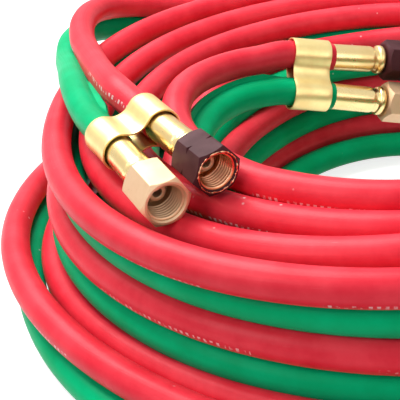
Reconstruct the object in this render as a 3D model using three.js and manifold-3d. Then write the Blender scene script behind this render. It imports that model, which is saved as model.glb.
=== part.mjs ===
// A coiled set of twin oxy-fuel welding hose: a red fuel hose and a green oxygen hose side by side,
// wound eleven times round, with a brass fitting pair at each end whose four swivel nuts turn.
// Millimetres, +Z up. The coil stands on z = 0 with its axis on the Z axis.
import * as THREE from "three";
import Module from "manifold-3d";

// --- Hose -----------------------------------------------------------------------------------
const HOSE_D = 13; // outside diameter of one hose
const HOSE_BORE = 6.35; // 1/4 in bore
const WEB = 0.3; // thin rubber web that joins the two hoses side by side
const CLEARANCE = 0.3; // gap kept between pieces that touch on the real object
const HOSE_SIDES = 8;
const TURN_STEPS = 28;
const HOSE_R = HOSE_D / 2;
const PITCH = HOSE_D + WEB; // from one hose's axis to its neighbour's

// --- Swivel nut, 9/16 in-18 thread ----------------------------------------------------------
const NUT_FLATS = 17.46; // 11/16 in across flats
const NUT_LENGTH = 19;
const NUT_BACK_WALL = 4; // the shoulder that pulls on the nipple
const THREAD_MAJOR = 14.29;
const THREAD_MINOR = 12.8;
const THREAD_PITCH = 1.41;
const THREAD_TURNS = 7;
const MOUTH_CHAMFER = 1;
const ROUND_SIDES = 20;

// --- Nipple ---------------------------------------------------------------------------------
const NIPPLE_BORE = 3.6;
const NECK_D = 7.8; // where it passes through the nut's back wall
const SHOULDER_D = 11.6;
const SHOULDER_LENGTH = 2.4;
const NOSE_D = 6.4; // small end of the seating cone
const NOSE_LENGTH = 4;
const BARB_COUNT = 4;
const BARB_PITCH = 4;
const BARB_DEPTH = 0.4;

// --- Ferrule and clip -----------------------------------------------------------------------
const FERRULE_D = 12.6; // crimped, so a little under the free hose
const FERRULE_WALL = 0.9;
const FERRULE_LENGTH = 27;
const BEAD_D = 13.9;
const BEAD_LENGTH = 3.4;
const NECK_GROOVE = 0.5;
const CLIP_LENGTH = 18.5;
const CLIP_WALL = 0.8;
const CLIP_CLEARANCE = 0.7; // the hoses spread a little through the clip
const CLIP_WAIST = 4; // half height of the band between its two lobes
const CLIP_SPACING = 18.7; // from hose axis to hose axis in the clip
const SPLAY = THREE.MathUtils.degToRad(1.55); // each fitting leans out, so that both nuts can turn

// --- Coil -----------------------------------------------------------------------------------
// The place of each turn of the red hose: its radius, its height, and how far the pair leans
// (0 = green straight below red, positive = green outwards).
const TOP = 73.5; // height of the top turn, which the second leads make
const TOP_RADIUS = 101.5;
const TURNS = [
  { radius: 176.5, height: HOSE_R + PITCH * cosd(10), lean: 10 },
  { radius: 163.5, height: HOSE_R + PITCH * cosd(41), lean: -41 },
  { radius: 116, height: HOSE_R + PITCH, lean: 0 },
  { radius: 92.5, height: HOSE_R + PITCH, lean: 0 },
  { radius: 93.5, height: TOP - 2 * PITCH - 0.3, lean: 0 },
  { radius: 107, height: TOP - 2 * PITCH - 3.5, lean: 0 },
  { radius: 153.5, height: TOP - 2 * PITCH - 5.5, lean: 10 },
  { radius: TOP_RADIUS + 3 * PITCH, height: TOP - 12.2, lean: 0 },
  { radius: TOP_RADIUS + 2 * PITCH, height: TOP - 8.5, lean: 0 },
  { radius: TOP_RADIUS + PITCH, height: TOP - 5.3, lean: 0 },
];

// --- The two fitting pairs: the place of the clip, and how the pair lies ---------------------
// ferruleStart is from the middle of the clip to the ferrules' hose end, and nutsTurned is how
// far each nut is turned where it lies, in degrees.
const ENDS = [
  { number: 1, clip: [-117.5, -38, 86.65], yaw: -65.9, pitch: 5.2, roll: 15.1, ferruleStart: 5.2,
    nutsTurned: { oxygen: 16, fuel: 25 } },
  { number: 2, clip: [-35, 39.6, 71.9], yaw: 10, pitch: 15.3, roll: 59.9, ferruleStart: 11.7,
    nutsTurned: { oxygen: 48, fuel: 44 } },
];
// The leads, from behind the clip to the coil. The second ones go on round as the top turn.
const LEADS = {
  red_1: [[-123, -8, 93.8], [-131, 20, 94], [-139, 55, 92.5], [-134, 92, 85], [-104, 124, 76], [-66, 139.8, 68.6]],
  green_1: [[-136, -15, 86], [-145.5, 25, 86.2], [-149, 58, 82], [-138.5, 92, 70.5], [-112, 118, 62], [-72, 137.8, 54.9]],
  red_2: [
    [-57.6, 39.5, 82.6], [-77.6, 27, 84.1], [-90.8, 9.9, 84], [-97.5, -11, 81.5], [-96, -35, 77.5],
    ...topTurn(TOP),
  ],
  green_2: [
    [-57, 33, 69.5], [-75.4, 26, 70.2], [-87.5, 12, 69], [-94.5, -9, 66.5], [-94.5, -34, 63],
    ...topTurn(TOP - PITCH),
  ],
};
const STRAIGHT = 4; // the hose runs straight this far behind the clip
const LEAD_SIDES = 10;
const LEAD_STEP = 2.2 * HOSE_D;

function cosd(degrees) {
  return Math.cos(THREE.MathUtils.degToRad(degrees));
}

/** Points along the top turn, from the left round the front and the right to the back. */
function topTurn(height) {
  const points = [];
  for (let angle = 215; angle <= 480; angle += 13.25) {
    points.push([TOP_RADIUS * cosd(angle), TOP_RADIUS * cosd(angle - 90), height]);
  }
  return points;
}

// --- Materials ------------------------------------------------------------------------------
const finish = (color, roughness, metalness) =>
  new THREE.MeshStandardMaterial({ color, roughness, metalness });
const redRubber = finish(0xe2283f, 0.5, 0);
const greenRubber = finish(0x00a468, 0.5, 0);
const brass = finish(0xd9b460, 0.3, 1);
const redBrass = finish(0x6e2a30, 0.35, 0.8);

// --- Solids ---------------------------------------------------------------------------------
const wasm = await Module();
wasm.setup();

/** The solid inside a three.js geometry. */
function solidOf(geometry) {
  const flat = geometry.index ? geometry.toNonIndexed() : geometry;
  const points = flat.getAttribute("position");
  const keys = new Map();
  const vertices = [];
  const triangles = [];
  for (let i = 0; i < points.count; i++) {
    const xyz = [points.getX(i), points.getY(i), points.getZ(i)];
    const key = xyz.map((value) => Math.round(value * 1e4)).join();
    if (!keys.has(key)) {
      keys.set(key, vertices.length / 3);
      vertices.push(...xyz);
    }
    triangles.push(keys.get(key));
  }
  const kept = [];
  for (let i = 0; i < triangles.length; i += 3) {
    const [a, b, c] = triangles.slice(i, i + 3);
    if (a !== b && b !== c && a !== c) kept.push(a, b, c);
  }
  return new wasm.Manifold(
    new wasm.Mesh({
      numProp: 3,
      vertProperties: new Float32Array(vertices),
      triVerts: new Uint32Array(kept),
    }),
  );
}

/** A three.js geometry of a manifold solid. */
function geometryOf(solid) {
  const mesh = solid.getMesh();
  const geometry = new THREE.BufferGeometry();
  geometry.setAttribute("position", new THREE.BufferAttribute(mesh.vertProperties, 3));
  geometry.setIndex(new THREE.BufferAttribute(mesh.triVerts, 1));
  geometry.computeVertexNormals();
  return geometry;
}

/** A solid turned about the X axis from [x, radius] points; ends off the axis close on themselves. */
function turned(outline, sides = ROUND_SIDES) {
  const points = outline.map(([x, radius]) => new THREE.Vector2(radius, x));
  const lathe = new THREE.LatheGeometry([...points, points[0].clone()], sides);
  lathe.rotateZ(-Math.PI / 2); // the lathe's own Y axis becomes +X
  const made = solidOf(lathe);
  return made.volume() < 0 ? solidOf(flipped(lathe)) : made;
}

/** The same geometry with every face turned round. */
function flipped(geometry) {
  const index = geometry.index.array;
  for (let i = 0; i < index.length; i += 3) {
    [index[i + 1], index[i + 2]] = [index[i + 2], index[i + 1]];
  }
  return geometry;
}

/** One turn of the coil: a ring of hose about the Z axis, flat on its underside. */
function ring(radius, height) {
  const corner = HOSE_R / Math.cos(Math.PI / HOSE_SIDES);
  const outline = [];
  for (let i = 0; i <= HOSE_SIDES; i++) {
    const angle = ((i + 0.5) * 2 * Math.PI) / HOSE_SIDES;
    outline.push(
      new THREE.Vector2(radius + corner * Math.cos(angle), height + corner * Math.sin(angle)),
    );
  }
  outline[HOSE_SIDES].copy(outline[0]);
  return new THREE.LatheGeometry(outline, TURN_STEPS).rotateX(Math.PI / 2);
}

/** A hexagonal bar along +X with a corner on top, from x = 0. */
function hexBar(flats, length) {
  const corner = flats / 2 / Math.cos(Math.PI / 6);
  const shape = new THREE.Shape();
  for (let i = 0; i < 6; i++) {
    const angle = (i * Math.PI) / 3; // the shape's x becomes -Z
    const at = [corner * Math.cos(angle), corner * Math.sin(angle)];
    if (i) shape.lineTo(...at);
    else shape.moveTo(...at);
  }
  shape.closePath();
  const bar = new THREE.ExtrudeGeometry(shape, { depth: length, bevelEnabled: false });
  return solidOf(bar.rotateY(Math.PI / 2));
}

// --- One fitting, along +X from the ferrule's hose end ---------------------------------------
const STUB_R = FERRULE_D / 2 - FERRULE_WALL - CLEARANCE; // hose squeezed inside the ferrule
const BEAD_START = FERRULE_LENGTH - BEAD_LENGTH;
const STUB_LENGTH = BEAD_START - 1.5;
const NUT_START = FERRULE_LENGTH + 2 * CLEARANCE;
const SHOULDER_START = NUT_START + NUT_BACK_WALL + CLEARANCE;
const BARB_R = HOSE_BORE / 2 - CLEARANCE;

function ferrule() {
  const outer = FERRULE_D / 2;
  const hole = NECK_D / 2 + CLEARANCE;
  const bead = BEAD_D / 2;
  const wall = BEAD_START - 1.2;
  return turned([
    [0, outer],
    [0, outer - FERRULE_WALL],
    [wall, outer - FERRULE_WALL],
    [wall, hole],
    [FERRULE_LENGTH, hole],
    [FERRULE_LENGTH, bead - 0.8],
    [FERRULE_LENGTH - 0.5, bead - 0.2],
    [FERRULE_LENGTH - BEAD_LENGTH / 2, bead],
    [BEAD_START + 0.5, bead - 0.2],
    [BEAD_START, outer - NECK_GROOVE],
    [BEAD_START - 1.5, outer - NECK_GROOVE],
    [BEAD_START - 2.5, outer],
  ]);
}

function nipple() {
  const bore = NIPPLE_BORE / 2;
  const neck = NECK_D / 2;
  const shoulder = SHOULDER_D / 2;
  const noseStart = SHOULDER_START + SHOULDER_LENGTH;
  const outline = [[2, bore]];
  for (let i = 0; i < BARB_COUNT; i++) {
    const start = 2 + i * BARB_PITCH;
    outline.push([start, BARB_R - BARB_DEPTH], [start + BARB_PITCH * 0.8, BARB_R]);
  }
  const shankEnd = STUB_LENGTH + CLEARANCE;
  outline.push(
    [2 + BARB_COUNT * BARB_PITCH, BARB_R - BARB_DEPTH],
    [shankEnd, BARB_R - BARB_DEPTH],
    [shankEnd, neck],
    [SHOULDER_START, neck],
    [SHOULDER_START, shoulder],
    [noseStart, shoulder],
    [noseStart + NOSE_LENGTH, NOSE_D / 2],
    [noseStart + NOSE_LENGTH, bore],
  );
  return turned(outline);
}

/** The threaded bore of the nut, as the solid to take away from it. */
function threadedBore() {
  const floor = NUT_START + NUT_BACK_WALL;
  const mouth = NUT_START + NUT_LENGTH;
  const minor = THREAD_MINOR / 2;
  const major = THREAD_MAJOR / 2;
  const threadStart = mouth - MOUTH_CHAMFER - THREAD_TURNS * THREAD_PITCH;
  const outline = [
    [NUT_START - 1, 0],
    [NUT_START - 1, NECK_D / 2 + CLEARANCE],
    [floor, NECK_D / 2 + CLEARANCE],
    [floor, minor],
  ];
  for (let i = 0; i < THREAD_TURNS; i++) {
    const start = threadStart + i * THREAD_PITCH;
    outline.push([start, minor], [start + THREAD_PITCH / 2, major]);
  }
  outline.push(
    [mouth - MOUTH_CHAMFER, minor],
    [mouth, minor + MOUTH_CHAMFER],
    [mouth + 1, minor + MOUTH_CHAMFER],
    [mouth + 1, 0],
  );
  return turned(outline);
}

function swivelNut() {
  const flat = NUT_FLATS / 2;
  const corner = flat / Math.cos(Math.PI / 6);
  const end = NUT_START + NUT_LENGTH;
  const envelope = turned(
    [
      [NUT_START, 0],
      [NUT_START, flat - 1],
      [NUT_START + 2.2, corner + 0.1],
      [end - 1.2, corner + 0.1],
      [end, flat - 0.1],
      [end, 0],
    ],
    2 * ROUND_SIDES,
  );
  const bar = hexBar(NUT_FLATS, NUT_LENGTH).translate([NUT_START, 0, 0]);
  return bar.intersect(envelope).subtract(threadedBore());
}

// --- The clip: one brass strip bent round both hoses ----------------------------------------

/** The closed outline of the band, grown by `grow` from the hose side of its strip. */
function bandShape(grow) {
  const r = HOSE_R + CLIP_CLEARANCE + grow;
  const y = CLIP_SPACING / 2;
  const waist = CLIP_WAIST + grow;
  const open = Math.asin(waist / r); // where a lobe meets the straight waist
  const shape = new THREE.Shape();
  shape.absarc(y, 0, r, -Math.PI + open, Math.PI - open, false);
  shape.absarc(-y, 0, r, open, 2 * Math.PI - open, false);
  shape.closePath();
  return shape;
}

function clip() {
  const block = (grow, length) =>
    solidOf(
      new THREE.ExtrudeGeometry(bandShape(grow), {
        depth: length,
        bevelEnabled: false,
        curveSegments: 14,
      })
        .translate(0, 0, -length / 2)
        .rotateX(Math.PI / 2)
        .rotateZ(Math.PI / 2),
    );
  return block(CLIP_WALL, CLIP_LENGTH).subtract(block(0, CLIP_LENGTH + 2));
}

// --- Assembly -------------------------------------------------------------------------------
const group = new THREE.Group();

/** Add a named mesh to a group. */
function add(parent, name, shape, material) {
  const geometry = shape.isBufferGeometry ? shape : geometryOf(shape);
  const mesh = new THREE.Mesh(geometry, material);
  mesh.name = name;
  parent.add(mesh);
  return mesh;
}

TURNS.forEach(({ radius, height, lean }, i) => {
  const number = String(i + 1).padStart(2, "0");
  const angle = THREE.MathUtils.degToRad(lean);
  add(group, `red_hose_turn_${number}`, ring(radius, height), redRubber);
  add(
    group,
    `green_hose_turn_${number}`,
    ring(radius + PITCH * Math.sin(angle), height - PITCH * Math.cos(angle)),
    greenRubber,
  );
});

/** The solid hose end inside its ferrule, with the bore that the nipple's shank fills. */
function hoseEnd(tube, place) {
  const stub = turned([
    [-CLEARANCE - 1, 0],
    [-CLEARANCE - 1, STUB_R],
    [STUB_LENGTH, STUB_R],
    [STUB_LENGTH, 0],
  ]).transform(place.elements);
  const bore = turned([
    [-1, 0],
    [-1, HOSE_BORE / 2],
    [STUB_LENGTH + 1, HOSE_BORE / 2],
    [STUB_LENGTH + 1, 0],
  ]).transform(place.elements);
  return tube.add(stub).subtract(bore);
}

/** The lead of one hose, from its ferrule through the clip and on to the coil. */
function lead(place, ferruleStart, points) {
  const behind = [-CLEARANCE, -ferruleStart, -ferruleStart - CLIP_LENGTH / 2 - STRAIGHT];
  const straight = behind.map((x) => new THREE.Vector3(x, 0, 0).applyMatrix4(place));
  const route = [...straight, ...points.map((point) => new THREE.Vector3(...point))];
  const path = new THREE.CatmullRomCurve3(route, false, "centripetal");
  const section = new THREE.Shape();
  for (let i = 0; i < LEAD_SIDES; i++) {
    const angle = (i * 2 * Math.PI) / LEAD_SIDES;
    const at = [HOSE_R * Math.cos(angle), HOSE_R * Math.sin(angle)];
    if (i) section.lineTo(...at);
    else section.moveTo(...at);
  }
  section.closePath();
  const steps = Math.ceil(path.getLength() / LEAD_STEP) + 2;
  const tube = new THREE.ExtrudeGeometry(section, { steps, extrudePath: path });
  return hoseEnd(solidOf(tube), place);
}

for (const { number, clip: at, yaw, pitch, roll, ferruleStart, nutsTurned } of ENDS) {
  const pair = new THREE.Group();
  pair.position.set(...at);
  pair.rotation.set(
    THREE.MathUtils.degToRad(roll),
    THREE.MathUtils.degToRad(pitch),
    THREE.MathUtils.degToRad(yaw),
    "ZYX",
  );
  group.add(pair);
  add(pair, `hose_clip_${number}`, clip(), brass);

  const gases = [
    { gas: "oxygen", hose: "green", rubber: greenRubber, metal: brass, side: -1 },
    { gas: "fuel", hose: "red", rubber: redRubber, metal: redBrass, side: 1 },
  ];
  for (const { gas, hose, rubber, metal, side } of gases) {
    const fitting = new THREE.Group();
    fitting.rotation.z = side * SPLAY;
    fitting.position.set(
      ferruleStart * Math.cos(SPLAY),
      side * (CLIP_SPACING / 2 + ferruleStart * Math.sin(SPLAY)),
      0,
    );
    pair.add(fitting);
    add(fitting, `${gas}_ferrule_${number}`, ferrule(), brass);
    add(fitting, `${gas}_nipple_${number}`, nipple(), brass);
    const nut = add(fitting, `${gas}_nut_${number}`, swivelNut(), metal);
    nut.rotation.x = THREE.MathUtils.degToRad(nutsTurned[gas]);
    group.updateMatrixWorld(true);
    const route = LEADS[`${hose}_${number}`];
    const solid = lead(fitting.matrixWorld, ferruleStart, route);
    add(group, `${hose}_hose_lead_${number}`, solid, rubber);
  }
}

export default group;
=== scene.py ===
"""The looks of a coiled twin welding hose set: two rubber hoses and four crimped brass fittings."""
import math

import bpy
from mathutils import Euler, Matrix, Vector


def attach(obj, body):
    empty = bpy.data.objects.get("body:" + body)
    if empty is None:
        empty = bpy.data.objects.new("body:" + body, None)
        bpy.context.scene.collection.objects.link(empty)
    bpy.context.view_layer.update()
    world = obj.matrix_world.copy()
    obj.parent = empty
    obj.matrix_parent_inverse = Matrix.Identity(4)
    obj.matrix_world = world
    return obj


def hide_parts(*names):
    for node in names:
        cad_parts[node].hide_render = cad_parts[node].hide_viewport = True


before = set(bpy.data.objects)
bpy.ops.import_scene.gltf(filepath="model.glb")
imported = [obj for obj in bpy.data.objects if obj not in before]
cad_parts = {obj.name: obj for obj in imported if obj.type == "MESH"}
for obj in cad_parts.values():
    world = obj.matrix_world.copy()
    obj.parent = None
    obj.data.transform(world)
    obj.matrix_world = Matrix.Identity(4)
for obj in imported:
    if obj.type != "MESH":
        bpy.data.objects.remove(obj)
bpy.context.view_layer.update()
MM = 0.001

# --- Sizes, in millimetres, as the CAD part has them -----------------------------------------
HOSE_R = 6.5
PITCH = 13.3  # from one hose's axis to its neighbour's
CLIP_SPACING = 18.7
CLIP_LENGTH = 18.5
CLIP_R = 7.69  # round each hose, to the middle of the strip
CLIP_WAIST = 3.9  # half the height of the pinch
CLIP_WALL = 0.8
SPLAY = math.radians(1.55)
FERRULE_LENGTH = 27
NUT_START = 27.6
NUT_END = 46.6
NUT_FLATS = 17.46
THREAD_MAJOR_R = 7.145
THREAD_MINOR_R = 6.4
THREAD_PITCH = 1.41
THREAD_TURNS = 7
THREAD_INSET = 1.2  # from the mouth of the nut
NECK_R = 3.9

# Each end: the middle of the clip, how the pair lies, where the ferrules start, and how far each
# nut is turned where it lies.
ENDS = {
    1: {"clip": (-117.5, -38, 86.65), "yaw": -65.9, "pitch": 5.2, "roll": 15.1, "start": 5.2,
        "nuts": {"oxygen": 16, "fuel": 25}},
    2: {"clip": (-35, 39.6, 71.9), "yaw": 10, "pitch": 15.3, "roll": 59.9, "start": 11.7,
        "nuts": {"oxygen": 48, "fuel": 44}},
}
SIDES = {"oxygen": -1, "fuel": 1}

# --- The lay of the hose ---------------------------------------------------------------------
# Eight places a turn for the red hose: radius, height, and how far the pair leans (0 = green
# straight below red, positive = green outwards). A turn starts at the front and goes round by
# the left, the back and the right. The first row begins at the back left, where the first lead
# comes down.
TURNS = [
    [(186, 84, 0), (167, 71, 0), (156, 68.5, 0), (149, 56, 0), (145, 41, 0)],
    [(143, 39.8, 0), (149.5, 43.6, 0), (156.5, 47, 0), (161, 49, 0),
     (160, 43, 0), (166, 43, 0), (176, 40, 0), (174, 28, 5)],
    [(170, 20.1, 10), (168.5, 21.5, 25), (181, 29, -20), (181, 26, 0),
     (176, 20.1, 10), (172, 20.1, 5), (165, 20.1, 0), (160, 20.1, 0)],
    [(157, 20.1, 0), (155.5, 20.1, 0), (164, 20, 0), (160, 20, 20),
     (156, 18, 45), (153, 20.1, 10), (151, 20.1, -10), (147, 17.2, -40)],
    [(144, 13.2, -60), (143.5, 13.3, -60), (143, 13.3, -60), (126, 12.6, -65),
     (106, 11.4, -70), (113, 17.6, -40), (118.5, 20.1, 0), (119, 20.1, -5)],
    [(117, 19.3, -20), (94, 18.7, -30), (81, 18.5, -35), (82, 18.5, -45),
     (90, 18.5, -50), (98, 20, -25), (106, 31, 0), (112, 43, 0)],
    [(115, 43.5, 0), (95, 43, 0), (83.5, 42.5, 0), (82, 42.5, 0),
     (95, 42.5, 0), (103, 44, 0), (116, 44, 0), (125, 43, 0)],
    [(128, 43, 0), (121, 38, 0), (104, 50, -20), (95, 65, -35),
     (101, 63, -50), (104, 66, -30), (109, 68, -10), (112, 69, 0)],
    [(112.6, 69, 0), (114, 67.5, 0), (121, 68.5, -20), (122, 72.5, 0),
     (119, 73, 0), (119, 70, 0), (121, 69, 0), (124, 70, 0)],
    [(126.7, 70.3, 0), (131, 64.5, -12), (138, 69, -20), (142, 76, 15),
     (137, 77, 10), (133, 69.5, 0), (135, 68, 0), (139, 66.5, 0)],
    [(141.6, 65.9, -8), (150, 67, -20), (154, 71.5, -14), (161, 81.5, 10),
     (152, 84, 0), (136, 95, 0), (120, 96, 0), (104, 92, 0)],
    [(100.5, 75.3, 0), (102, 74.5, 0)],
]
FIRST_PLACE = 135 - 360  # degrees of winding at the first row's first place
PLACE_STEP = 45
COIL_STEP = 5
COIL_SKIP = 4  # the coil's first steps, which the leads make
LEADS = {
    "red": {
        1: [(-122.9, -8, 93.8), (-128.4, 10, 92.8), (-133.6, 30, 92), (-138.5, 53, 91.6),
            (-143, 75, 93), (-143.5, 98, 95.5), (-138.5, 120, 95), (-126, 139.5, 91),
            (-106.5, 152, 85.5)],
        2: [(-82, -59.5, 75), (-92.5, -43, 76.3), (-99.2, -24.4, 79.5), (-99.8, -10, 82),
            (-96.7, 4, 84), (-90.1, 16.7, 84.6), (-80.4, 27.3, 84.3), (-69, 34.7, 83.8),
            (-57.6, 39, 83)],
    },
    "green": {
        1: [(-136, -15, 85.6), (-140.8, 2, 87.3), (-145, 24, 87.8), (-148.5, 50, 85.5),
            (-152.2, 77, 83), (-152, 101, 84.8), (-146, 123.5, 83), (-130.5, 144, 77.5),
            (-108.5, 154, 72)],
        2: [(-80.5, -60, 61.5), (-88, -46, 62.3), (-92.3, -29.8, 64.2), (-93.2, -15.5, 66),
            (-90.3, -1.7, 67.8), (-83.8, 10.7, 69.3), (-75, 20.2, 69.9), (-65.5, 26.8, 69.8),
            (-56.5, 30.3, 69)],
    },
}
STRAIGHT = 4  # behind each clip
IN_FERRULE = 3.0  # how far a hose goes into its ferrule
HOSE_STEP = 3.4  # from ring to ring of a hose's surface
SQUEEZED_END = 2.5  # the end of a hose that the ferrule squeezes
SQUEEZE = 0.82
WEB_ENDS = 22  # degrees from the side that faces the twin
PLAIN_STEPS = 12  # of the section, from the web to the far side
SPLIT_FROM = 14.2  # from axis to axis, where the web lets go
SPLIT_OVER = 0.8
FLANGE_FROM = 28  # from the end of a hose, where its flange begins
FLANGE_OVER = 8


# --- Camera ----------------------------------------------------------------------------------
CAMERA_PLACE = (-0.0945, -0.36, 0.22)
CAMERA_DOWN = math.radians(27.5)  # below level
CAMERA_ROLL = -0.13  # radians
CAMERA_LENS = 78.9


def camera_in_front():
    data = bpy.data.cameras.new("camera")
    data.sensor_width = 36
    data.lens = CAMERA_LENS
    data.clip_start = 0.01
    camera = bpy.data.objects.new("camera", data)
    bpy.context.scene.collection.objects.link(camera)
    pitch = Matrix.Rotation(math.pi / 2 - CAMERA_DOWN, 4, "X")
    roll = Matrix.Rotation(CAMERA_ROLL, 4, "Z")
    camera.matrix_world = Matrix.Translation(CAMERA_PLACE) @ pitch @ roll
    bpy.context.scene.camera = camera


camera_in_front()


# --- Small helpers ---------------------------------------------------------------------------
def pair_frame(end):
    """The matrix of a fitting pair, X towards its nuts and Y from oxygen to fuel."""
    facts = ENDS[end]
    turn = Euler([math.radians(facts[k]) for k in ("roll", "pitch", "yaw")], "XYZ")
    return Matrix.Translation(Vector(facts["clip"]) * MM) @ turn.to_matrix().to_4x4()


def fitting_frame(end, gas):
    """The matrix of one fitting, X along its axis from the ferrule's hose end."""
    start, side = ENDS[end]["start"], SIDES[gas]
    place = Vector(
        (start * math.cos(SPLAY), side * (CLIP_SPACING / 2 + start * math.sin(SPLAY)), 0)
    )
    turn = Matrix.Rotation(side * SPLAY, 4, "Z")
    return pair_frame(end) @ Matrix.Translation(place * MM) @ turn


def active():
    return bpy.context.view_layer.objects.active


def select_only(*objects):
    if active() and active().mode != "OBJECT":
        bpy.ops.object.mode_set(mode="OBJECT")
    bpy.ops.object.select_all(action="DESELECT")
    for o in objects:
        o.select_set(True)
    bpy.context.view_layer.objects.active = objects[0] if objects else None


def named(name):
    o = active()
    o.name = o.data.name = name
    return o


def apply_modifiers(o):
    select_only(o)
    for modifier in list(o.modifiers):
        bpy.ops.object.modifier_apply(modifier=modifier.name)
    return o


def smooth_by_angle(o, degrees):
    select_only(o)
    bpy.ops.object.shade_smooth_by_angle(angle=math.radians(degrees))


def turned(name, outline, sides=64):
    """A body turned on a lathe about X: outline is [(x, radius)], and it closes on itself."""
    x, radius = outline[0]
    select_only()
    bpy.ops.mesh.primitive_circle_add(
        vertices=sides, radius=radius * MM, location=(x * MM, 0, 0), rotation=(0, math.pi / 2, 0)
    )
    bpy.ops.object.transform_apply()
    bpy.ops.object.mode_set(mode="EDIT")
    bpy.ops.mesh.select_all(action="SELECT")
    for next_x, next_radius in outline[1:] + outline[:1]:
        bpy.ops.mesh.extrude_edges_move(TRANSFORM_OT_translate={"value": ((next_x - x) * MM, 0, 0)})
        grow = next_radius / radius
        bpy.ops.transform.resize(value=(1, grow, grow), center_override=(next_x * MM, 0, 0))
        x, radius = next_x, next_radius
    bpy.ops.mesh.select_all(action="SELECT")
    bpy.ops.mesh.remove_doubles(threshold=1e-6)
    bpy.ops.mesh.normals_make_consistent(inside=False)
    bpy.ops.object.mode_set(mode="OBJECT")
    return named(name)


def pick_points(o, wanted):
    """Select in edit mode only the vertices whose place is wanted."""
    bpy.ops.mesh.select_mode(type="VERT")
    bpy.ops.mesh.select_all(action="DESELECT")
    bpy.ops.object.mode_set(mode="OBJECT")
    for vertex in o.data.vertices:
        vertex.select = wanted(vertex.co)
    bpy.ops.object.mode_set(mode="EDIT")


def pick_edges(o, wanted):
    """Select in edit mode only the edges whose two ends are wanted."""
    bpy.ops.mesh.select_mode(type="EDGE")
    bpy.ops.mesh.select_all(action="DESELECT")
    bpy.ops.object.mode_set(mode="OBJECT")
    for edge in o.data.edges:
        edge.select = wanted(*(o.data.vertices[v].co for v in edge.vertices))
    bpy.ops.object.mode_set(mode="EDIT")


def cut(o, tool, operation="DIFFERENCE"):
    """Cut a body with another, which is used up."""
    modifier = o.modifiers.new("cut", "BOOLEAN")
    modifier.operation = operation
    modifier.solver = "EXACT"
    modifier.object = tool
    apply_modifiers(o)
    bpy.data.objects.remove(tool)
    return o


def join(o, *others):
    select_only(o, *others)
    bpy.ops.object.join()
    return o


def placed_copy(model, name, matrix):
    """A copy of a model with its own mesh, put in place with its object at the origin."""
    o = model.copy()
    o.data = model.data.copy()
    o.name = o.data.name = name
    bpy.context.scene.collection.objects.link(o)
    o.matrix_world = matrix
    select_only(o)
    bpy.ops.object.transform_apply()
    return o


# --- Shader building -------------------------------------------------------------------------
class Nodes:
    """A node tree with short calls to add and join nodes."""

    def __init__(self, tree):
        self.tree = tree

    def add(self, kind, **values):
        """Add a node. Its values are its own settings, sockets by name with _ for a space, or
        sockets by number as i0, i1 and so on."""
        node = self.tree.nodes.new("ShaderNode" + kind)
        for key, value in values.items():
            if hasattr(node, key):
                setattr(node, key, value)
        for key, value in values.items():
            if hasattr(node, key):
                continue
            name = key.replace("_", " ")
            socket = node.inputs[int(key[1:])] if key[1:].isdigit() else node.inputs[name]
            if isinstance(value, bpy.types.NodeSocket):
                self.tree.links.new(value, socket)
            else:
                socket.default_value = value
        return node

    def calc(self, operation, a, b):
        return self.add("Math", operation=operation, i0=a, i1=b).outputs[0]

    def blend(self, factor, a, b):
        node = self.add("Mix", data_type="RGBA", i0=factor, i6=a, i7=b)
        return node.outputs[2]

    def step(self, value, low, high, to_low=0.0, to_high=1.0):
        """Map a value to a range, held at its ends."""
        node = self.add(
            "MapRange", Value=value, From_Min=low, From_Max=high, To_Min=to_low, To_Max=to_high
        )
        return node.outputs[0]


def effect(name, inputs, outputs, build):
    """A shader node group: inputs and outputs are [(kind, name, default)]."""
    tree = bpy.data.node_groups.new(name, "ShaderNodeTree")
    for direction, sockets in (("INPUT", inputs), ("OUTPUT", outputs)):
        for kind, socket_name, value in sockets:
            made = tree.interface.new_socket(
                socket_name, in_out=direction, socket_type="NodeSocket" + kind
            )
            if value is not None:
                made.default_value = value
    nodes = Nodes(tree)
    source = tree.nodes.new("NodeGroupInput").outputs
    sink = tree.nodes.new("NodeGroupOutput").inputs
    for socket_name, value in build(nodes, source).items():
        tree.links.new(value, sink[socket_name])
    return tree


def principled(name, **settings):
    """A new material and its nodes, with settings on the shader's own sockets."""
    material = bpy.data.materials.new(name)
    material.use_nodes = True
    nodes = Nodes(material.node_tree)
    shader = material.node_tree.nodes["Principled BSDF"]
    for key, value in settings.items():
        shader.inputs[key.replace("_", " ")].default_value = value
    return material, nodes, shader


def use_effect(nodes, tree, shader, **values):
    """Place an effect in a material and join its colour, roughness and relief to the shader."""
    group = nodes.add("Group", node_tree=tree)
    for key, value in values.items():
        group.inputs[key].default_value = value
    nodes.tree.links.new(group.outputs["Colour"], shader.inputs["Base Color"])
    nodes.tree.links.new(group.outputs["Roughness"], shader.inputs["Roughness"])
    bump = nodes.add("Bump", Height=group.outputs["Relief"], Distance=0.001, Strength=1.0)
    nodes.tree.links.new(bump.outputs[0], shader.inputs["Normal"])


# --- Rubber ----------------------------------------------------------------------------------
TICKS_A_METRE = 420.0
TICK_GROUPS_A_METRE = 9.0


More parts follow.
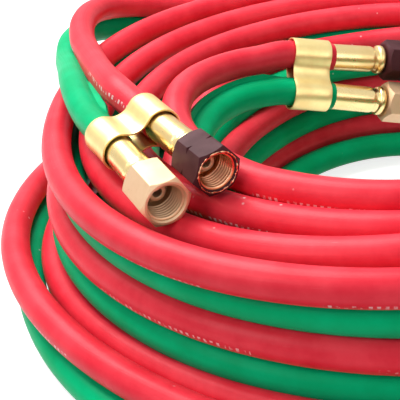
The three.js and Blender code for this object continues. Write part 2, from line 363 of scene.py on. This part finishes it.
def rubber_effect():
    """Extruded rubber: cloudy tone, fine drawn lines, dust specks, scuffs and worn tick marks."""

    def build(n, given):
        place = n.add("TexCoord").outputs["Object"]
        along_round = n.add("UVMap", uv_map="along_round").outputs[0]
        split = n.add("SeparateXYZ", Vector=along_round)
        along, around = split.outputs[0], split.outputs[1]

        cloud = n.add("TexNoise", Vector=place, Scale=55.0, Detail=4.0, Roughness=0.6)
        tone = n.step(cloud.outputs[0], 0.35, 0.65)
        colour = n.blend(tone, given["Deep"], given["Light"])

        drawn = n.add("Mapping", Vector=along_round, Scale=(14.0, 60.0, 1.0))
        lines = n.add("TexNoise", Vector=drawn.outputs[0], Scale=1.0, Detail=3.0, Roughness=0.7)
        skin = n.add("TexNoise", Vector=place, Scale=900.0, Detail=3.0, Roughness=0.6)

        # dust specks, thick in some patches and missing in others
        dots = n.add("TexVoronoi", Vector=place, Scale=150.0, Randomness=1.0)
        patch = n.add("TexNoise", Vector=place, Scale=22.0, Detail=2.0)
        near = n.step(dots.outputs["Distance"], 0.11, 0.04)
        rare = n.step(patch.outputs[0], 0.56, 0.66)
        dust = n.calc("MULTIPLY", n.calc("MULTIPLY", near, rare), given["Dust"])
        colour = n.blend(dust, colour, (1.0, 0.92, 0.9, 1.0))

        # scuffs, long along the hose
        drag = n.add("Mapping", Vector=along_round, Scale=(30.0, 26.0, 1.0))
        scratch = n.add("TexNoise", Vector=drag.outputs[0], Scale=1.5, Detail=6.0, Roughness=0.75)
        scuff = n.calc("MULTIPLY", n.step(scratch.outputs[0], 0.66, 0.74), given["Scuffs"])
        colour = n.blend(n.calc("MULTIPLY", scuff, 0.35), colour, (1.0, 0.8, 0.8, 1.0))

        # a row of worn tick marks, which runs from beside the web to the outer side
        beat = n.add("Math", operation="FRACT", i0=n.calc("MULTIPLY", along, TICKS_A_METRE))
        tick = n.step(beat.outputs[0], 0.52, 0.44)
        group = n.calc("MULTIPLY", along, TICK_GROUPS_A_METRE)
        gap = n.add("Math", operation="FRACT", i0=group)
        tick = n.calc("MULTIPLY", tick, n.step(gap.outputs[0], 0.64, 0.62))
        row = n.step(along, 0.15, 0.5, 0.115, 0.2)
        off = n.add("Math", operation="ABSOLUTE", i0=n.calc("SUBTRACT", around, row))
        tick = n.calc("MULTIPLY", tick, n.step(off.outputs[0], 0.025, 0.019))
        worn = n.add("TexNoise", Vector=place, Scale=420.0, Detail=4.0)
        tick = n.calc("MULTIPLY", tick, n.step(worn.outputs[0], 0.43, 0.56))
        tick = n.calc("MULTIPLY", tick, given["Ticks"])
        colour = n.blend(tick, colour, (1.0, 0.85, 0.85, 1.0))

        rough = n.step(lines.outputs[0], 0.3, 0.7, 0.34, 0.46)
        rough = n.calc("ADD", rough, n.calc("MULTIPLY", scuff, 0.2))
        relief = n.calc("MULTIPLY", lines.outputs[0], 0.06)
        relief = n.calc("ADD", relief, n.calc("MULTIPLY", skin.outputs[0], 0.03))
        relief = n.calc("ADD", relief, n.calc("MULTIPLY", dust, 0.1))
        return {"Colour": colour, "Roughness": rough, "Relief": relief}

    return effect(
        "extruded rubber",
        [("Color", "Light", (1, 1, 1, 1)), ("Color", "Deep", (0, 0, 0, 1)),
         ("Float", "Dust", 1.0), ("Float", "Scuffs", 1.0), ("Float", "Ticks", 1.0)],
        [("Color", "Colour", None), ("Float", "Roughness", None), ("Float", "Relief", None)],
        build,
    )


def rubber(name, tree, light, deep, ticks, shine):
    material, nodes, shader = principled(name, Specular_IOR_Level=shine)
    use_effect(nodes, tree, shader, Light=light, Deep=deep, Dust=0.8, Scuffs=0.7, Ticks=ticks)
    return material


# --- Brass -----------------------------------------------------------------------------------
def brass_effect():
    """Worked brass: cloudy tarnish, soft dents and dark specks."""

    def build(n, given):
        place = n.add("TexCoord").outputs["Object"]
        cloud = n.add("TexNoise", Vector=place, Scale=80.0, Detail=4.0, Roughness=0.55)
        colour = n.blend(n.step(cloud.outputs[0], 0.38, 0.66), given["Bright"], given["Dull"])
        wave = n.add("TexNoise", Vector=place, Scale=160.0, Detail=2.0)
        marks = n.add("TexNoise", Vector=place, Scale=640.0, Detail=4.0, Roughness=0.7)
        spot = n.calc("MULTIPLY", n.step(marks.outputs[0], 0.69, 0.76), given["Specks"])
        colour = n.blend(spot, colour, (0.2, 0.1, 0.05, 1.0))
        rough = n.step(cloud.outputs[0], 0.3, 0.7, 0.0, 0.1)
        rough = n.calc("ADD", rough, given["Dullness"])
        relief = n.calc("MULTIPLY", wave.outputs[0], given["Dents"])
        return {"Colour": colour, "Roughness": rough, "Relief": relief}

    return effect(
        "worked brass",
        [("Color", "Bright", (1, 1, 1, 1)), ("Color", "Dull", (0, 0, 0, 1)),
         ("Float", "Dullness", 0.2), ("Float", "Dents", 0.05), ("Float", "Specks", 0.5)],
        [("Color", "Colour", None), ("Float", "Roughness", None), ("Float", "Relief", None)],
        build,
    )


def brass(name, tree, bright, dull, dullness, dents, specks, **settings):
    material, nodes, shader = principled(name, **{"Metallic": 1.0, **settings})
    use_effect(nodes, tree, shader, Bright=bright, Dull=dull, Dullness=dullness, Dents=dents,
               Specks=specks)
    return material


RUBBER = rubber_effect()
RED = rubber("red rubber", RUBBER, (0.87, 0.045, 0.07, 1), (0.76, 0.02, 0.042, 1), 0.65, 0.2)
GREEN = rubber("green rubber", RUBBER, (0.0, 0.5, 0.2, 1), (0.0, 0.41, 0.15, 1), 0.0, 0.07)
METAL = brass_effect()
BRASS = brass(
    "drawn brass", METAL, (0.95, 0.74, 0.36, 1), (0.86, 0.62, 0.27, 1), 0.24, 0.03, 0.5
)
STRIP = brass(
    "strip brass", METAL, (0.95, 0.78, 0.36, 1), (0.86, 0.64, 0.27, 1), 0.38, 0.04, 0.3
)
CUT_BRASS = brass(
    "machined brass", METAL, (0.74, 0.52, 0.33, 1), (0.68, 0.46, 0.28, 1), 0.52, 0.02, 0.3
)
COPPERY = brass(
    "coppery thread", METAL, (0.9, 0.5, 0.3, 1), (0.62, 0.3, 0.16, 1), 0.24, 0.05, 0.5
)
LACQUER = brass(
    "dark red lacquer", METAL, (0.085, 0.024, 0.029, 1), (0.055, 0.013, 0.016, 1), 0.36, 0.03, 0.2,
    Metallic=0.0, Specular_IOR_Level=0.12,
)


# --- The hoses -------------------------------------------------------------------------------
def spline(a, b, c, d, t):
    """A smooth step from b to c, with the neighbours a and d."""
    return 0.5 * (
        2 * b + (c - a) * t + (2 * a - 5 * b + 4 * c - d) * t * t + (3 * b - a - 3 * c + d) * t**3
    )


def coil_points():
    """The red and green points down the middle of each hose, all round the coil."""
    places = [Vector(place) for row in TURNS for place in row]
    red, green = [], []
    count = (len(places) - 1) * PLACE_STEP // COIL_STEP
    for k in range(COIL_SKIP, count + 1):
        i, t = divmod(k * COIL_STEP / PLACE_STEP, 1)
        i = min(int(i), len(places) - 2)
        if k == count:
            t = 1
        near = [places[max(0, min(len(places) - 1, i + j))] for j in (-1, 0, 1, 2)]
        radius, height, lean = spline(*near, t)
        angle = math.radians(270 - FIRST_PLACE - k * COIL_STEP)
        lean = math.radians(lean)
        for points, r, z in (
            (red, radius, height),
            (green, radius + PITCH * math.sin(lean), height - PITCH * math.cos(lean)),
        ):
            points.append(Vector((r * math.cos(angle), r * math.sin(angle), z)))
    return {"red": red, "green": green}


def lead_start(end, gas):
    """Points of a hose from its ferrule back through the clip."""
    matrix = fitting_frame(end, gas)
    back = ENDS[end]["start"] + CLIP_LENGTH / 2 + STRAIGHT
    places = (IN_FERRULE, -ENDS[end]["start"] / 2, -back)
    return [matrix @ Vector((x * MM, 0, 0)) / MM for x in places]


def even_line(points, counts=None):
    """A smooth line through points, with the count of steps of each stretch.

    Each stretch takes the root of its length as its time, so that a tight bend never loops."""
    ends = [2 * points[0] - points[1]] + points + [2 * points[-1] - points[-2]]
    if counts is None:
        counts = [
            max(1, round((b - a).length / HOSE_STEP)) for a, b in zip(points, points[1:])
        ]
    line = []
    for i, count in enumerate(counts):
        a, b, c, d = ends[i : i + 4]
        t1 = (b - a).length ** 0.5
        t2 = t1 + (c - b).length ** 0.5
        t3 = t2 + (d - c).length ** 0.5
        for k in range(count):
            t = t1 + (t2 - t1) * k / count
            ab = a.lerp(b, t / t1)
            bc = b.lerp(c, (t - t1) / (t2 - t1))
            cd = c.lerp(d, (t - t2) / (t3 - t2))
            line.append(ab.lerp(bc, t / t2).lerp(bc.lerp(cd, (t - t1) / (t3 - t1)),
                                                 (t - t1) / (t2 - t1)))
    return line + [points[-1].copy()], counts


def web_section(flange):
    """(angle, radius) round the hose from the side that faces its twin, where the web is."""
    half = [(0, 6.7 + flange), (6, 6.7 + flange), (9, 6.72 + flange * 0.45), (12, 6.72),
            (17, 6.62), (WEB_ENDS, HOSE_R)]
    plain = 180 - WEB_ENDS
    half += [(WEB_ENDS + plain * k / PLAIN_STEPS, HOSE_R) for k in range(1, PLAIN_STEPS)]
    mirrored = [(360 - angle, radius) for angle, radius in reversed(half[1:])]
    return half + [(180, HOSE_R)] + mirrored


def held(value, start, over):
    """How far a value is past a start, as a share of a reach, from 0 to 1."""
    return max(0.0, min(1.0, (value - start) / over))


def hose(name, line, twin, material, flange):
    """The surface of one hose along its line, with the web on the side of its twin.

    Where the pair is split, the web stays on one hose as a thin flange."""
    section = web_section(0)
    count = len(line)
    vertices, along = [], [0.0]
    for a, b in zip(line, line[1:]):
        along.append(along[-1] + (b - a).length * MM)
    length = along[-1]
    for i, point in enumerate(line):
        tangent = (line[min(i + 1, count - 1)] - line[max(i - 1, 0)]).normalized()
        towards = twin[i] - point
        towards = (towards - tangent * towards.dot(tangent)).normalized()
        across = tangent.cross(towards)
        from_end = min(along[i], length - along[i]) / MM
        squeeze = SQUEEZE if from_end < SQUEEZED_END else 1.0
        split = held((twin[i] - point).length, SPLIT_FROM, SPLIT_OVER)
        split *= held(from_end, FLANGE_FROM, FLANGE_OVER)
        for angle, radius in web_section(flange * split):
            angle = math.radians(angle)
            out = towards * math.cos(angle) + across * math.sin(angle)
            vertices.append((point + out * radius * squeeze) * MM)
    sides = len(section)
    faces = [
        (i * sides + j, i * sides + (j + 1) % sides,
         (i + 1) * sides + (j + 1) % sides, (i + 1) * sides + j)
        for i in range(count - 1) for j in range(sides)
    ]
    faces += [tuple(reversed(range(sides))), tuple(range((count - 1) * sides, count * sides))]
    mesh = bpy.data.meshes.new(name)
    mesh.from_pydata(vertices, [], faces)
    uv = mesh.uv_layers.new(name="along_round")
    turns = [angle / 360 for angle, _ in section] + [1.0]
    for face in mesh.polygons:
        corners = list(face.loop_indices)
        if len(corners) != 4:
            continue
        i, j = divmod(face.index, sides)
        for corner, (di, dj) in zip(corners, ((0, 0), (0, 1), (1, 1), (1, 0))):
            uv.data[corner].uv = (along[i + di], turns[j + dj])
    mesh.materials.append(material)
    o = bpy.data.objects.new(name, mesh)
    bpy.context.scene.collection.objects.link(o)
    select_only(o)
    bpy.ops.object.mode_set(mode="EDIT")
    bpy.ops.mesh.select_all(action="SELECT")
    bpy.ops.mesh.normals_make_consistent(inside=False)
    bpy.ops.object.mode_set(mode="OBJECT")
    smooth_by_angle(o, 50)
    return o


def both_hoses():
    """The red fuel hose and the green oxygen hose, each with its line, by gas."""
    coil = coil_points()
    lines, counts = {}, None
    for colour, gas in (("red", "fuel"), ("green", "oxygen")):
        points = lead_start(1, gas) + [Vector(p) for p in LEADS[colour][1]] + coil[colour]
        points += [Vector(p) for p in LEADS[colour][2]] + lead_start(2, gas)[::-1]
        lines[colour], counts = even_line(points, counts)
    made = {}
    for colour, twin, gas, material, flange in (
        ("red", "green", "fuel", RED, 0.2), ("green", "red", "oxygen", GREEN, 2.4)
    ):
        o = hose(f"{colour}_hose", lines[colour], lines[twin], material, flange)
        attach(o, "root")
        nodes = [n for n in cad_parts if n.startswith(f"{colour}_hose_")]
        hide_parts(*nodes)
        made[gas] = (o, lines[colour])
    return made


HOSES = both_hoses()


# --- Fittings --------------------------------------------------------------------------------
def ferrule_model():
    outer, wall, hole, bead = 6.3, 0.9, NECK_R + 0.3, 6.95
    neck = outer - 0.55
    outline = [
        (0.25, outer), (0, outer - 0.2), (0, outer - wall + 0.15), (0.2, outer - wall),
        (22.4, outer - wall), (22.4, hole), (FERRULE_LENGTH, hole), (FERRULE_LENGTH, bead - 1.0),
        (26.8, bead - 0.5), (26.4, bead - 0.2), (25.9, bead - 0.04), (25.3, bead),
        (24.7, bead - 0.04), (24.2, bead - 0.2), (23.8, bead - 0.55), (23.5, neck + 0.08),
        (23.0, neck), (22.2, neck), (21.7, neck + 0.08), (21.1, outer - 0.2), (20.6, outer - 0.03),
        (20.0, outer), (15, outer), (10, outer), (5, outer), (2, outer),
    ]
    o = turned("ferrule", outline, 72)
    smooth_by_angle(o, 35)
    o.data.materials.append(BRASS)
    return o


def nipple_model():
    shoulder, bore = 5.8, 1.8
    start = NUT_START + 4.3
    outline = [
        (FERRULE_LENGTH - 4, bore), (FERRULE_LENGTH - 4, NECK_R), (start, NECK_R),
        (start, shoulder - 0.3), (start + 0.3, shoulder), (start + 2.1, shoulder),
        (start + 2.4, shoulder - 0.25), (start + 3.6, 4.75), (start + 4.9, 4.0),
        (start + 5.9, 3.5), (start + 6.3, 3.2), (start + 6.4, 2.9), (start + 6.4, bore + 0.3),
        (start + 6.1, bore),
    ]
    o = turned("nipple", outline, 56)
    smooth_by_angle(o, 35)
    o.data.materials.append(CUT_BRASS)
    return o


def hex_bar(name, start, end):
    """A six-sided bar along X with a corner on top and its long edges just broken."""
    corner = NUT_FLATS / 2 / math.cos(math.radians(30))
    select_only()
    bpy.ops.mesh.primitive_cylinder_add(
        vertices=6, radius=corner * MM, depth=(end - start) * MM,
        location=((start + end) / 2 * MM, 0, 0), rotation=(0, math.pi / 2, 0),
    )
    bpy.ops.object.transform_apply()
    o = named(name)
    bpy.ops.object.mode_set(mode="EDIT")
    bpy.ops.mesh.select_all(action="SELECT")
    bpy.ops.transform.rotate(value=math.radians(30), orient_axis="X", center_override=(0, 0, 0))
    pick_edges(o, lambda a, b: abs(a.x - b.x) > 0.001)
    bpy.ops.mesh.bevel(offset=0.3 * MM, segments=3, profile=0.5)
    bpy.ops.object.mode_set(mode="OBJECT")
    return o


def thread_ridge(name, start, turns):
    """The helical ridge of the thread inside the nut."""
    select_only()
    bpy.ops.mesh.primitive_circle_add(
        vertices=8, radius=0.8 * MM, location=(start * MM, 0, (THREAD_MINOR_R + 0.74) * MM),
        rotation=(math.pi / 2, math.radians(22.5), 0),
    )
    bpy.ops.transform.resize(value=(0.78, 1, 1))
    bpy.ops.object.transform_apply()
    o = named(name)
    screw = o.modifiers.new("helix", "SCREW")
    screw.axis = "X"
    screw.screw_offset = THREAD_PITCH * MM
    screw.iterations = turns
    screw.steps = screw.render_steps = 48
    screw.use_smooth_shade = True
    apply_modifiers(o)
    bpy.ops.object.mode_set(mode="EDIT")
    bpy.ops.mesh.select_all(action="SELECT")
    bpy.ops.mesh.remove_doubles(threshold=1e-7)
    bpy.ops.mesh.select_all(action="DESELECT")
    bpy.ops.mesh.select_non_manifold()
    bpy.ops.mesh.fill_holes(sides=8)
    bpy.ops.mesh.select_all(action="SELECT")
    bpy.ops.mesh.normals_make_consistent(inside=False)
    bpy.ops.object.mode_set(mode="OBJECT")
    return o


def nut_model(name, notched, outside, thread):
    """A swivel nut: a six-sided bar with turned ends, its bore and its thread."""
    flat = NUT_FLATS / 2
    corner = flat / math.cos(math.radians(30)) + 0.2
    body = hex_bar(name, NUT_START, NUT_END)
    shape = turned(
        "turned ends",
        [(NUT_START, 1), (NUT_START, flat - 1.1), (NUT_START + 0.5, flat - 0.25),
         (NUT_START + 2.0, corner), (NUT_END - 1.3, corner), (NUT_END - 0.25, flat + 0.15),
         (NUT_END, flat - 0.25), (NUT_END, 1)],
        96,
    )
    cut(body, shape, "INTERSECT")
    bore = turned(
        "bore",
        [(NUT_START - 1, 0.5), (NUT_START - 1, NECK_R + 0.3), (NUT_START + 4, NECK_R + 0.3),
         (NUT_START + 4, THREAD_MAJOR_R), (NUT_END - 0.7, THREAD_MAJOR_R),
         (NUT_END, THREAD_MAJOR_R + 0.55), (NUT_END + 1, THREAD_MAJOR_R + 0.55),
         (NUT_END + 1, 0.5)],
        96,
    )
    cut(body, bore)
    if notched:
        middle, deep = (NUT_START + NUT_END) / 2, 1.15
        groove = turned(
            "groove",
            [(middle, corner - deep), (middle - 1.3, corner + 0.6), (middle + 1.3, corner + 0.6)],
            96,
        )
        cut(body, groove)
    body.data.materials.clear()
    body.data.materials.append(outside)
    body.data.materials.append(thread)
    for face in body.data.polygons:
        middle = face.center
        radius = math.hypot(middle.y, middle.z) / MM
        inside = radius < THREAD_MAJOR_R + 0.2 and NUT_START * MM + 0.0005 < middle.x
        face.material_index = 1 if inside else 0
    ridge_start = NUT_END - THREAD_INSET - THREAD_TURNS * THREAD_PITCH
    ridge = thread_ridge("ridge", ridge_start, THREAD_TURNS)
    ridge.data.materials.append(thread)
    smooth_by_angle(body, 30)
    join(body, ridge)
    body.name = body.data.name = name
    return body


def rim_burrs():
    """The torn raw edge round the mouth of a lacquered nut."""
    select_only()
    bpy.ops.mesh.primitive_torus_add(
        major_radius=7.95 * MM, minor_radius=0.3 * MM, major_segments=160, minor_segments=8,
        location=((NUT_END - 0.12) * MM, 0, 0), rotation=(0, math.pi / 2, 0),
    )
    bpy.ops.object.transform_apply()
    o = named("burrs")
    chips = bpy.data.textures.new("chips", "CLOUDS")
    chips.noise_scale = 0.0016
    chips.noise_depth = 2
    displace = o.modifiers.new("torn", "DISPLACE")
    displace.texture = chips
    displace.texture_coords = "LOCAL"
    displace.strength = 0.0011
    displace.mid_level = 0.5
    apply_modifiers(o)
    smooth_by_angle(o, 40)
    o.data.materials.append(COPPERY)
    return o


def clip_model():
    """The brass strip bent round both hoses, pinched between them."""
    side = CLIP_SPACING / 2
    select_only()
    bpy.ops.mesh.primitive_circle_add(
        vertices=24, radius=CLIP_R * MM, location=(-CLIP_LENGTH / 2 * MM, 0, 0),
        rotation=(0, math.pi / 2, 0),
    )
    bpy.ops.object.transform_apply()
    o = named("clip")
    bpy.ops.object.mode_set(mode="EDIT")
    bpy.ops.mesh.select_all(action="SELECT")
    bpy.ops.transform.rotate(
        value=math.radians(7.5), orient_axis="X", center_override=(0, 0, 0)
    )
    for hand in (-1, 1):
        pick_points(o, lambda at: at.y * hand > 0)
        bpy.ops.transform.translate(value=(0, hand * side * MM, 0))
    pick_edges(o, lambda a, b: a.y * b.y < 0)
    bpy.ops.mesh.subdivide(number_cuts=5)
    # rows of points by how far they lie from the middle, with the height of the strip there
    for reach, height in ((0.35, CLIP_WAIST), (2.7, CLIP_WAIST * 1.17), (5.2, CLIP_WAIST * 1.52)):
        pick_points(o, lambda at: reach - 1.6 < abs(at.y) / MM < reach + 1.1)
        grow = height / CLIP_R
        bpy.ops.transform.resize(value=(1, 1, grow), center_override=(0, 0, 0))
    bpy.ops.mesh.select_all(action="SELECT")
    bpy.ops.mesh.extrude_edges_move(
        TRANSFORM_OT_translate={"value": (CLIP_LENGTH * MM, 0, 0)}
    )
    bpy.ops.mesh.select_all(action="SELECT")
    bpy.ops.mesh.normals_make_consistent(inside=False)
    bpy.ops.object.mode_set(mode="OBJECT")
    smooth = o.modifiers.new("smooth", "SUBSURF")
    smooth.levels = smooth.render_levels = 3
    bends = bpy.data.textures.new("hammer", "CLOUDS")
    bends.noise_scale = 0.012
    dents = o.modifiers.new("dents", "DISPLACE")
    dents.texture = bends
    dents.texture_coords = "LOCAL"
    dents.strength = 0.0003
    wall = o.modifiers.new("wall", "SOLIDIFY")
    wall.thickness = CLIP_WALL * MM
    wall.offset = 0
    edge = o.modifiers.new("edge", "BEVEL")
    edge.width = 0.15 * MM
    edge.segments = 2
    edge.limit_method = "ANGLE"
    edge.angle_limit = math.radians(50)
    apply_modifiers(o)
    smooth_by_angle(o, 40)
    o.data.materials.append(STRIP)
    return o


def all_fittings():
    models = {
        "ferrule": ferrule_model(),
        "nipple": nipple_model(),
        "oxygen_nut": nut_model("oxygen nut", False, CUT_BRASS, CUT_BRASS),
        "fuel_nut": join(nut_model("fuel nut", True, LACQUER, COPPERY), rim_burrs()),
        "clip": clip_model(),
    }
    pieces = {}
    for end in ENDS:
        strap = placed_copy(models["clip"], f"brass_clip_{end}", pair_frame(end))
        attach(strap, "root")
        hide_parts(f"hose_clip_{end}")
        for gas in SIDES:
            for part in ("ferrule", "nipple", "nut"):
                is_nut = part == "nut"
                matrix = fitting_frame(end, gas)
                if is_nut:
                    rest = math.radians(ENDS[end]["nuts"][gas])
                    matrix = matrix @ Matrix.Rotation(rest, 4, "X")
                model = models[f"{gas}_nut" if is_nut else part]
                node = f"{gas}_{part}_{end}"
                piece = placed_copy(model, f"brass_{node}", matrix)
                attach(piece, f"{node}_body" if is_nut else "root")
                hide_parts(node)
                pieces[node] = piece
    for model in models.values():
        bpy.data.objects.remove(model)
    return pieces


PIECES = all_fittings()


# --- Floor and light -------------------------------------------------------------------------
FLOOR_GLOW = 0.8  # seen by the camera and in metal only
ROOM_ON_PART = 0.2
ROOM_IN_METAL = 0.85


def pale_floor():
    select_only()
    bpy.ops.mesh.primitive_plane_add(size=8, location=(0, 0, -0.0002))
    floor = named("floor")
    material, nodes, shader = principled("pale floor", Roughness=0.9, Specular_IOR_Level=0.1)
    shader.inputs["Base Color"].default_value = (0.5, 0.5, 0.5, 1)
    shader.inputs["Emission Color"].default_value = (1, 1, 1, 1)
    ray = nodes.add("LightPath").outputs
    either = nodes.calc("MAXIMUM", ray["Is Camera Ray"], ray["Is Glossy Ray"])
    glow = nodes.calc("MULTIPLY", either, FLOOR_GLOW)
    nodes.tree.links.new(glow, shader.inputs["Emission Strength"])
    floor.data.materials.append(material)


def soft_light():
    world = bpy.data.worlds.new("room")
    bpy.context.scene.world = world
    world.use_nodes = True
    nodes = Nodes(world.node_tree)
    background = world.node_tree.nodes["Background"]
    background.inputs["Color"].default_value = (1, 1, 1, 1)
    ray = nodes.add("LightPath").outputs
    seen = ray["Is Camera Ray"]
    either = nodes.calc("MAXIMUM", seen, ray["Is Glossy Ray"])
    strength = nodes.step(either, 0.0, 1.0, ROOM_ON_PART, ROOM_IN_METAL)
    strength = nodes.calc("MAXIMUM", strength, seen)
    world.node_tree.links.new(strength, background.inputs["Strength"])
    for name, place, size, power in (
        ("overhead", (-0.35, 0.45, 1.15), 0.9, 23.0),
        ("window", (-0.9, -0.6, 1.0), 0.7, 6.0),
        ("fill", (0.7, -1.2, 0.7), 0.9, 4.0),
    ):
        lamp = bpy.data.lights.new(name, "AREA")
        lamp.size = size
        lamp.energy = power
        o = bpy.data.objects.new(name, lamp)
        bpy.context.scene.collection.objects.link(o)
        o.location = place
        o.rotation_euler = (-Vector(place)).to_track_quat("-Z", "Y").to_euler()


pale_floor()
soft_light()
bpy.context.scene.view_settings.view_transform = "Standard"
